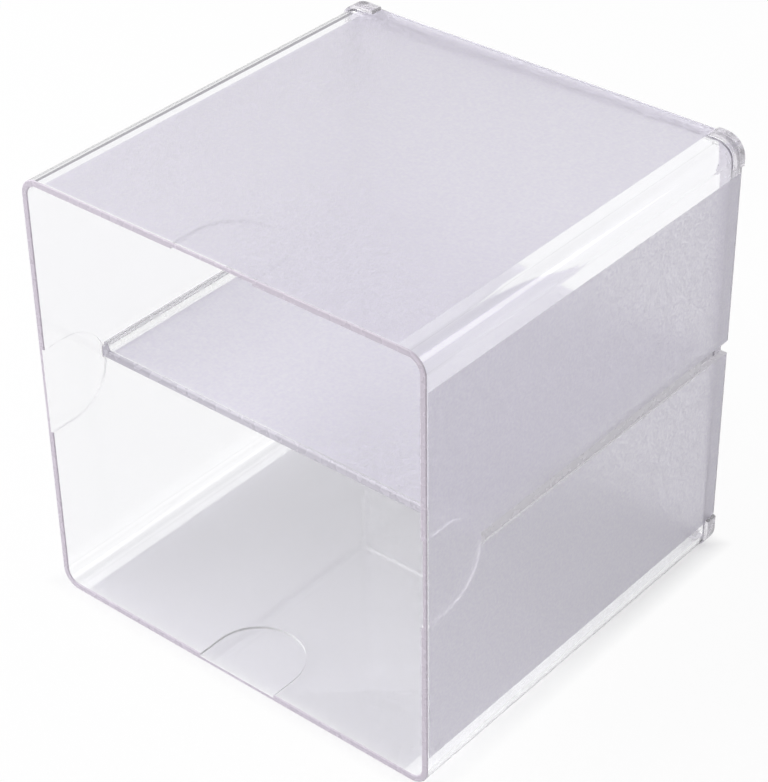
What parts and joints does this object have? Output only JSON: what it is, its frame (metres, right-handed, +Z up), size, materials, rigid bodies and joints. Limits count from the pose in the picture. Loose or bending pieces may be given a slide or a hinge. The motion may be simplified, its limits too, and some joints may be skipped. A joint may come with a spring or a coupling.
{
  "type": "desk organizer cube",
  "caption": "Open-fronted square desk organizer in clear moulded plastic, with a fixed shelf slotted into its side walls and a back panel gripped at the corners.",
  "frame": {"origin": "on the surface that the cube stands on, under the middle of its outside box", "axes": "+Z up, open front towards -Y, +X to the right when looking into the front"},
  "size_m": [0.1544, 0.1494, 0.1534],
  "materials": {
    "clear_polystyrene": "clear moulded polystyrene, polished edges and finely frosted flat panels"
  },
  "bodies": {
    "root": {"sleeve": "clear_polystyrene", "shelf": "clear_polystyrene", "back_panel": "clear_polystyrene"}
  },
  "joints": []
}
